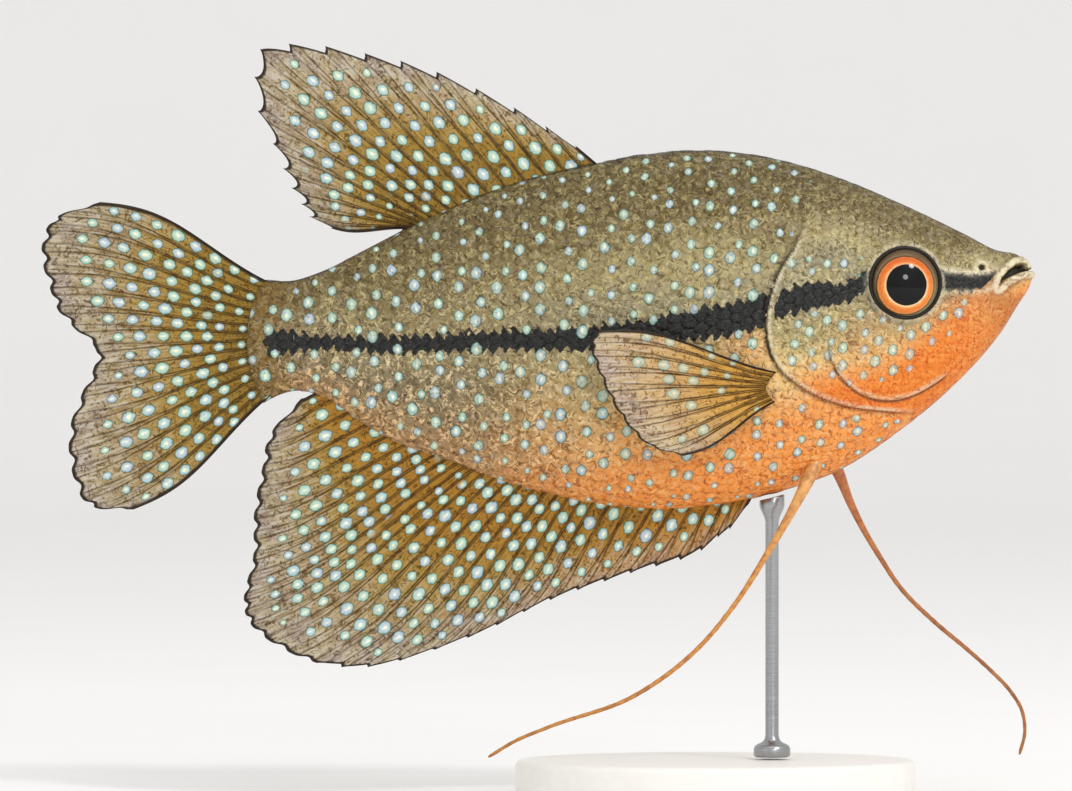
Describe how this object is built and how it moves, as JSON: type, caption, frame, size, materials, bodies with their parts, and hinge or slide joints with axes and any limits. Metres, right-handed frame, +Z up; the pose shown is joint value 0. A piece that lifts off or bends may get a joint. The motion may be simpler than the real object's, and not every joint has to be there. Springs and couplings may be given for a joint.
{
  "type": "pearl gourami model on a display stand",
  "caption": "Still, life-size model of a pearl gourami swimming level with its fins spread and its feelers trailing, held on a slim rod above a low oval base.",
  "frame": {"origin": "centre of the stand's flat underside, which rests on the floor", "axes": "+X towards the fish's head, along its length; -Y towards its right side; +Z up"},
  "size_m": [0.1195, 0.04, 0.0904],
  "materials": {
    "flank_skin": "cast model skin, painted, with scales and a satin clear coat",
    "head_skin": "cast model skin, painted, with a satin clear coat",
    "fin_membrane": "thin cast membrane with raised rays, painted",
    "feeler_skin": "thin cast filament, painted",
    "eye": "domed, wet gloss, with an orange iris and a black pupil",
    "painted_wood": "turned wood with a pale matt paint",
    "steel": "fine brushed"
  },
  "bodies": {
    "root": {"head": "head_skin", "torso": "flank_skin", "tail_stem": "flank_skin", "gill_cover_right": "head_skin", "gill_cover_left": "head_skin", "eye_right": "eye", "eye_left": "eye", "dorsal_fin": "fin_membrane", "anal_fin": "fin_membrane", "caudal_fin": "fin_membrane", "pectoral_fin_right": "fin_membrane", "pectoral_fin_left": "fin_membrane", "pelvic_fin_right_root": "feeler_skin", "pelvic_fin_right_middle": "feeler_skin", "pelvic_fin_right_tip": "feeler_skin", "pelvic_fin_left_root": "feeler_skin", "pelvic_fin_left_middle": "feeler_skin", "pelvic_fin_left_tip": "feeler_skin", "stand_base": "painted_wood", "stand_rod": "steel"}
  },
  "joints": []
}
